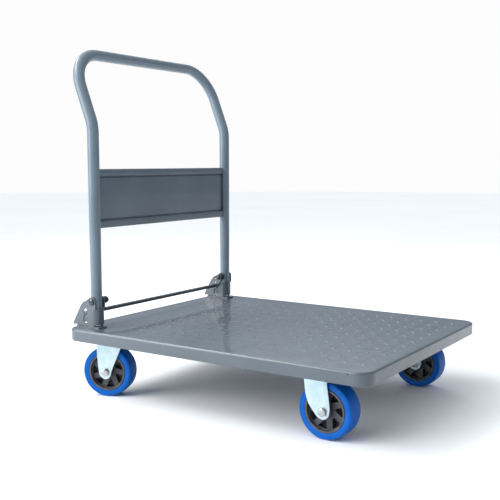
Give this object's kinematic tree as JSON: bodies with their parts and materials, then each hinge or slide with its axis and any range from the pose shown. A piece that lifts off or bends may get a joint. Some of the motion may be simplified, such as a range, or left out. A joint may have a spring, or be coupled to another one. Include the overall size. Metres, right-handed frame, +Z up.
{
  "type": "folding platform cart",
  "caption": "Flat-deck platform cart with a fold-down tubular push handle, a foot-operated lock rod, swivel casters at the handle end and rigid casters in front.",
  "frame": {"origin": "on the floor, under the middle of the whole cart's box, handle upright", "axes": "+X towards the front of the cart, away from the handle; +Y towards the pusher's left; +Z up"},
  "size_m": [0.8426, 0.64, 0.8564],
  "materials": {
    "grey_paint": "semi-gloss blue-grey powder coat",
    "panel_paint": "semi-gloss darker grey powder coat",
    "rod_steel": "dark grey paint, worn where feet press it",
    "zinc_plate": "bright bluish zinc plating",
    "fastener_steel": "plated steel, slightly dull",
    "blue_tyre": "saturated blue elastomer, satin",
    "black_plastic": "moulded black plastic",
    "spring_steel": "oiled dark spring wire"
  },
  "bodies": {
    "deck": {"deck_platform": "grey_paint", "crossmember_front": "grey_paint", "crossmember_rear": "grey_paint", "stiffener_left": "grey_paint", "stiffener_right": "grey_paint", "handle_bracket_left": "grey_paint", "handle_bracket_right": "grey_paint", "bracket_bolt_left_rear": "zinc_plate", "bracket_bolt_left_front": "zinc_plate", "bracket_bolt_right_rear": "zinc_plate", "bracket_bolt_right_front": "zinc_plate", "pivot_bolt_left": "fastener_steel", "pivot_bolt_right": "fastener_steel", "pivot_nut_left": "fastener_steel", "pivot_nut_right": "fastener_steel", "pivot_sleeve_left": "fastener_steel", "pivot_sleeve_right": "fastener_steel", "swivel_top_plate_left": "zinc_plate", "swivel_top_plate_right": "zinc_plate", "rigid_fork_left": "zinc_plate", "rigid_fork_right": "zinc_plate", "axle_bolt_front_left": "fastener_steel", "axle_bolt_front_right": "fastener_steel", "axle_nut_front_left": "fastener_steel", "axle_nut_front_right": "fastener_steel", "axle_sleeve_front_left": "fastener_steel", "axle_sleeve_front_right": "fastener_steel"},
    "handle": {"handle_tube": "grey_paint", "handle_panel": "panel_paint", "tube_plug_left": "black_plastic", "tube_plug_right": "black_plastic"},
    "lock_rod": {"lock_rod": "rod_steel"},
    "lock_springs": {"lock_spring_left": "spring_steel", "lock_spring_right": "spring_steel"},
    "swivel_left": {"swivel_fork_left": "zinc_plate", "kingpin_left": "zinc_plate", "ball_race_left": "zinc_plate", "axle_bolt_rear_left": "fastener_steel", "axle_nut_rear_left": "fastener_steel", "axle_sleeve_rear_left": "fastener_steel"},
    "swivel_right": {"swivel_fork_right": "zinc_plate", "kingpin_right": "zinc_plate", "ball_race_right": "zinc_plate", "axle_bolt_rear_right": "fastener_steel", "axle_nut_rear_right": "fastener_steel", "axle_sleeve_rear_right": "fastener_steel"},
    "wheel_rear_left": {"tyre_rear_left": "blue_tyre", "hub_rear_left": "black_plastic", "wheel_bearing_rear_left": "fastener_steel"},
    "wheel_rear_right": {"tyre_rear_right": "blue_tyre", "hub_rear_right": "black_plastic", "wheel_bearing_rear_right": "fastener_steel"},
    "wheel_front_left": {"tyre_front_left": "blue_tyre", "hub_front_left": "black_plastic", "wheel_bearing_front_left": "fastener_steel"},
    "wheel_front_right": {"tyre_front_right": "blue_tyre", "hub_front_right": "black_plastic", "wheel_bearing_front_right": "fastener_steel"}
  },
  "joints": [
    {"name": "handle_fold", "type": "hinge", "parent": "deck", "child": "handle", "pos_m": [-0.33772, 0, 0.2355], "axis": [0, 1, 0], "range_deg": [0, 90]},
    {"name": "lock_rod_press", "type": "slide", "parent": "deck", "child": "lock_rod", "axis": [0, 0, -1], "range_m": [0, 0.019], "stiffness_N_per_m": 600, "springref_m": -0.015},
    {"name": "lock_spring_swing", "type": "hinge", "parent": "deck", "child": "lock_springs", "pos_m": [-0.33772, 0, 0.2355], "axis": [0, -1, 0], "range_deg": [0, 13.2]},
    {"name": "swivel_left", "type": "hinge", "parent": "deck", "child": "swivel_left", "pos_m": [-0.29272, 0.247, 0.15], "axis": [0, 0, 1], "continuous": true},
    {"name": "swivel_right", "type": "hinge", "parent": "deck", "child": "swivel_right", "pos_m": [-0.29272, -0.247, 0.15], "axis": [0, 0, 1], "continuous": true},
    {"name": "wheel_rear_left_spin", "type": "hinge", "parent": "swivel_left", "child": "wheel_rear_left", "pos_m": [-0.31339, 0.23948, 0.0625], "axis": [-0.342, 0.9397, 0], "continuous": true},
    {"name": "wheel_rear_right_spin", "type": "hinge", "parent": "swivel_right", "child": "wheel_rear_right", "pos_m": [-0.31339, -0.25452, 0.0625], "axis": [-0.342, 0.9397, 0], "continuous": true},
    {"name": "wheel_front_left_spin", "type": "hinge", "parent": "deck", "child": "wheel_front_left", "pos_m": [0.29928, 0.247, 0.0625], "axis": [0, 1, 0], "continuous": true},
    {"name": "wheel_front_right_spin", "type": "hinge", "parent": "deck", "child": "wheel_front_right", "pos_m": [0.29928, -0.247, 0.0625], "axis": [0, 1, 0], "continuous": true}
  ],
  "couplings": [
    {"joint": "lock_spring_swing", "follows": "lock_rod_press", "rad_per_m": 11.85}
  ]
}
